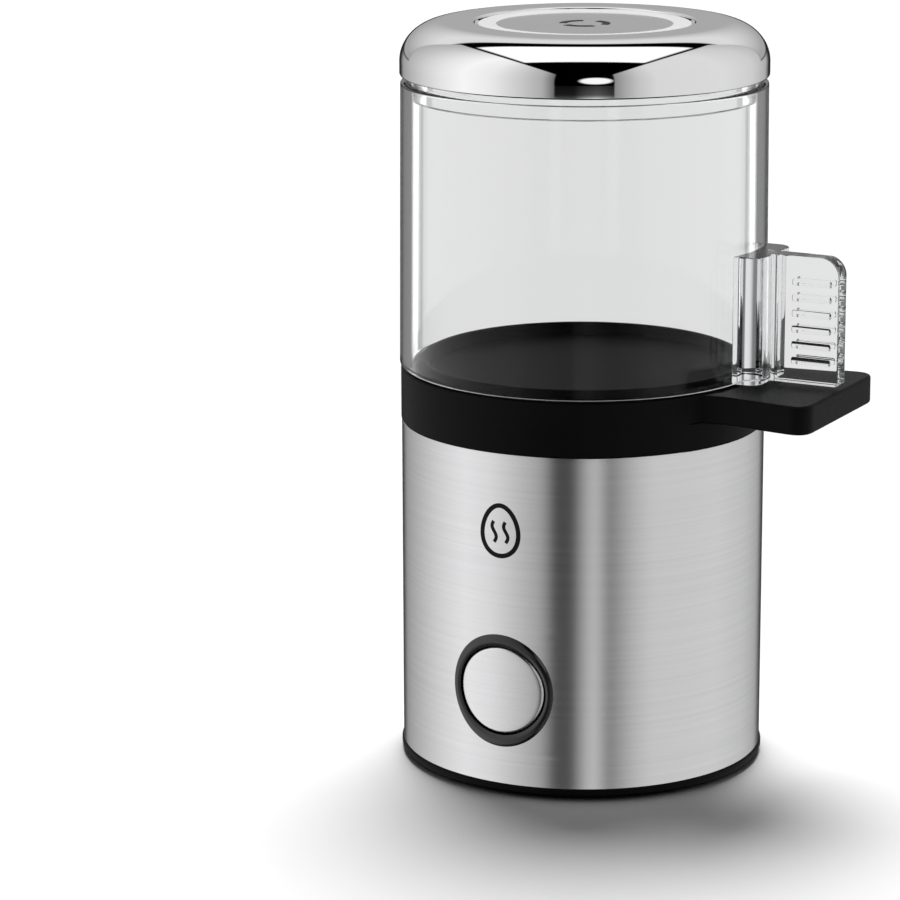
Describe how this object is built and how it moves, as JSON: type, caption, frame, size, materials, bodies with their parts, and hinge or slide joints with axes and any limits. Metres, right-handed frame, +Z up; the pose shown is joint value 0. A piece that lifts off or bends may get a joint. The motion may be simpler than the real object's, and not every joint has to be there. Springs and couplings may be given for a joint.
{
  "type": "egg cooker",
  "caption": "Small round steam egg cooker: brushed steel body with push button, black collar with side shelf, black pan, and clear lift-off lid with chromed dome and finger grip.",
  "frame": {"origin": "on the body's axis, at the underside of the rubber base pad, which is the surface the cooker stands on", "axes": "+Z up along the body's axis, -Y out of the push button, +X out of the shelf and the lid's finger grip"},
  "size_m": [0.1099, 0.0896, 0.177],
  "materials": {
    "brushed_steel": "brushed",
    "chrome": "mirror polished",
    "plain_steel": "plain",
    "black_plastic": "fine matt",
    "gloss_black": "gloss",
    "pan_coat": "satin non-stick coat",
    "clear_plastic": "clear, polished",
    "rubber": "matt",
    "silicone": "satin",
    "board_green": "satin",
    "component": "satin",
    "ivory_plastic": "satin",
    "brass": "plain",
    "wire_red": "satin",
    "wire_blue": "satin",
    "wire_green": "satin"
  },
  "bodies": {
    "cooker": {"base_pad": "rubber", "base_cover": "black_plastic", "base_screw_1": "plain_steel", "base_screw_2": "plain_steel", "base_screw_3": "plain_steel", "base_screw_4": "plain_steel", "body_sleeve": "brushed_steel", "inner_frame": "ivory_plastic", "top_collar": "black_plastic", "pan_gasket": "silicone", "heating_pan": "pan_coat", "heating_element": "plain_steel", "heat_shield": "plain_steel", "shield_nut_1": "brass", "shield_nut_2": "brass", "shield_nut_3": "brass", "thermostat": "ivory_plastic", "thermostat_clip": "plain_steel", "clip_nut_1": "brass", "clip_nut_2": "brass", "thermal_fuse": "plain_steel", "fuse_clip": "plain_steel", "control_board": "board_green", "relay": "component", "capacitor": "component", "buzzer": "component", "board_screw_1": "plain_steel", "board_screw_2": "plain_steel", "button_housing": "gloss_black", "button_spring": "plain_steel", "switch_body": "component", "cord_gland": "black_plastic", "cord_clamp": "black_plastic", "clamp_screw_1": "plain_steel", "clamp_screw_2": "plain_steel", "terminal_block": "ivory_plastic", "wire_supply_live": "wire_red", "wire_supply_neutral": "wire_blue", "wire_heater_live": "wire_red", "wire_heater_neutral": "wire_blue", "wire_earth": "wire_green"},
    "lid": {"lid_shell": "clear_plastic", "lid_liner": "clear_plastic", "lid_cap": "chrome", "lid_badge": "chrome", "lid_screw": "plain_steel", "lid_handle": "clear_plastic"},
    "button": {"button_cap": "brushed_steel", "button_carrier": "black_plastic", "button_retainer": "plain_steel"},
    "plunger": {"switch_plunger": "component"}
  },
  "joints": [
    {"name": "lid_lift", "type": "slide", "parent": "cooker", "child": "lid", "axis": [0, 0, 1], "range_m": [0, 0.1]},
    {"name": "button_press", "type": "slide", "parent": "cooker", "child": "button", "axis": [0, 1, 0], "range_m": [0, 0.0012], "stiffness_N_per_m": 900, "springref_m": -0.0005, "deforming": ["button_spring"]},
    {"name": "plunger_press", "type": "slide", "parent": "cooker", "child": "plunger", "axis": [0, 1, 0], "range_m": [0, 0.0012]}
  ],
  "couplings": [
    {"joint": "plunger_press", "follows": "button_press", "ratio": 1}
  ]
}
